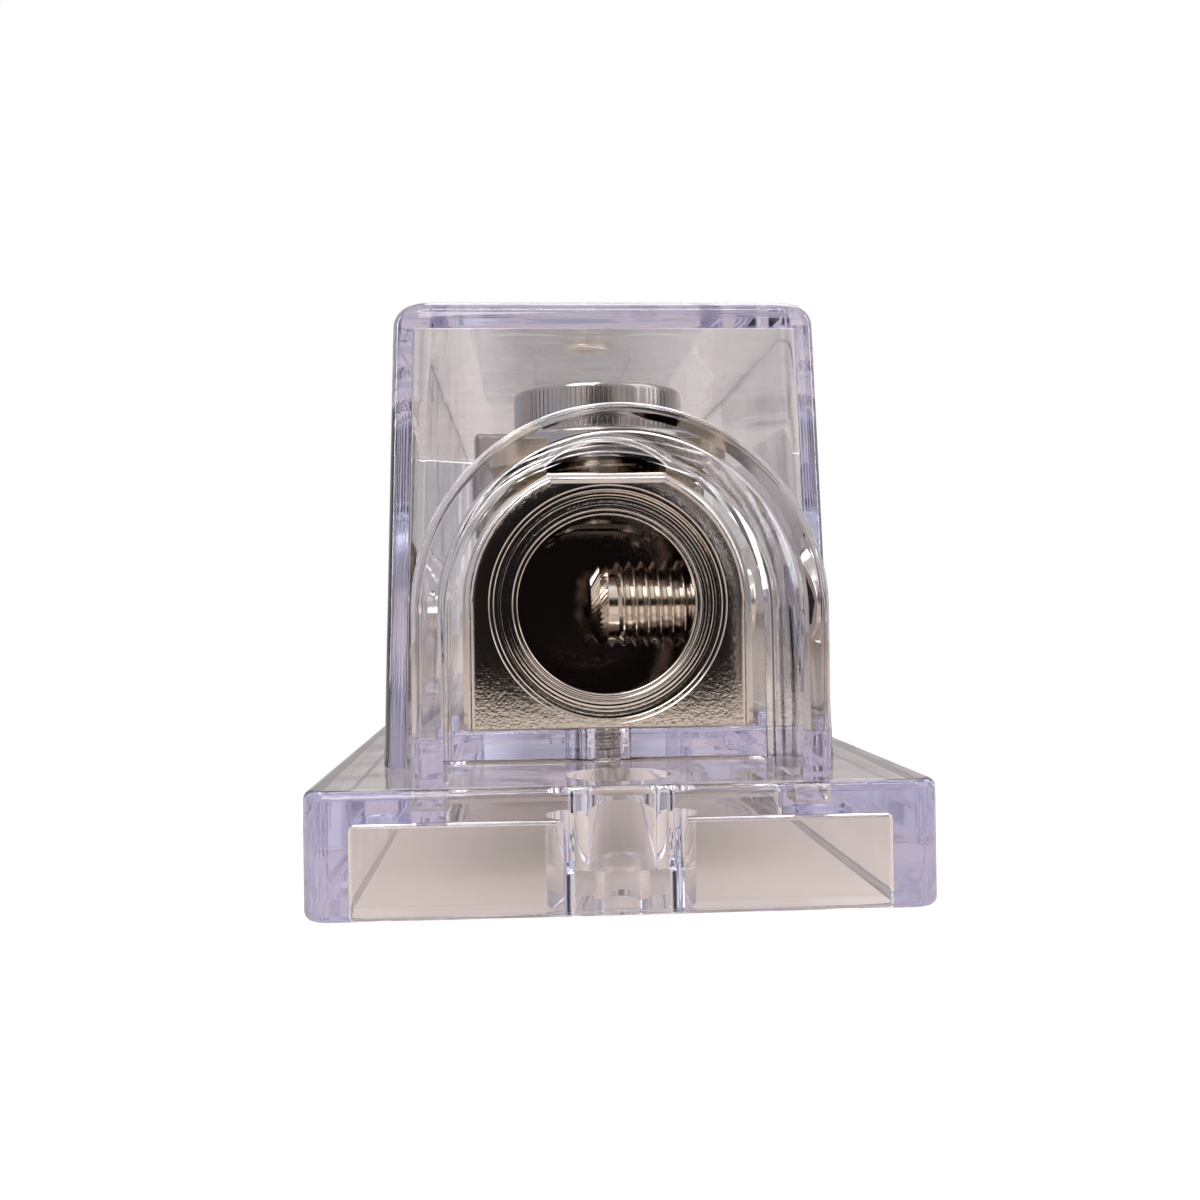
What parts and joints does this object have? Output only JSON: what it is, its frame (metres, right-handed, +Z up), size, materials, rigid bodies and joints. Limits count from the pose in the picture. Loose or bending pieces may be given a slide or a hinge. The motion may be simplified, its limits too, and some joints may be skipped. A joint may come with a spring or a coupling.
{
  "type": "bolt-down strip fuse holder",
  "caption": "Clear screw-down holder for a bolt-down strip fuse, with an arched cable tunnel and a plated screw terminal at each end.",
  "frame": {"origin": "middle of the underside, on the surface that the holder is screwed to", "axes": "+Y along the holder, away from the front cable entry, +Z up from the mounting surface, +X across"},
  "size_m": [0.0386, 0.108, 0.0396],
  "materials": {
    "clear_plastic": "clear polished polycarbonate with a faint violet tint",
    "nickel_plate": "bright nickel plate",
    "screw_steel": "nickel-plated steel",
    "fuse_metal": "plated copper alloy",
    "fuse_plastic": "smoke-tinted clear plastic",
    "rivet_brass": "bright brass"
  },
  "bodies": {
    "holder": {"base": "clear_plastic", "fuse_strip": "fuse_metal", "fuse_shell_upper": "fuse_plastic", "fuse_shell_lower": "fuse_plastic", "terminal_front": "nickel_plate", "clamp_washer_front": "screw_steel", "fuse_rivet_front": "rivet_brass", "fixing_screw_front_outer": "screw_steel", "fixing_screw_front_inner": "screw_steel", "terminal_rear": "nickel_plate", "clamp_washer_rear": "screw_steel", "fuse_rivet_rear": "rivet_brass", "fixing_screw_rear_outer": "screw_steel", "fixing_screw_rear_inner": "screw_steel"},
    "cover": {"cover": "clear_plastic"},
    "set_screw_front": {"set_screw_front": "screw_steel"},
    "clamp_screw_front": {"clamp_screw_front": "screw_steel"},
    "set_screw_rear": {"set_screw_rear": "screw_steel"},
    "clamp_screw_rear": {"clamp_screw_rear": "screw_steel"}
  },
  "joints": [
    {"name": "cover_lift", "type": "slide", "parent": "holder", "child": "cover", "axis": [0, 0, 1], "range_m": [0, 0.035]},
    {"name": "set_screw_front_travel", "type": "slide", "parent": "holder", "child": "set_screw_front", "axis": [1, 0, 0], "range_m": [-0.0035, 0.0015]},
    {"name": "clamp_screw_front_travel", "type": "slide", "parent": "holder", "child": "clamp_screw_front", "axis": [0, 0, 1], "range_m": [0, 0.0015]},
    {"name": "set_screw_rear_travel", "type": "slide", "parent": "holder", "child": "set_screw_rear", "axis": [-1, 0, 0], "range_m": [-0.0035, 0.0015]},
    {"name": "clamp_screw_rear_travel", "type": "slide", "parent": "holder", "child": "clamp_screw_rear", "axis": [0, 0, 1], "range_m": [0, 0.0015]}
  ]
}
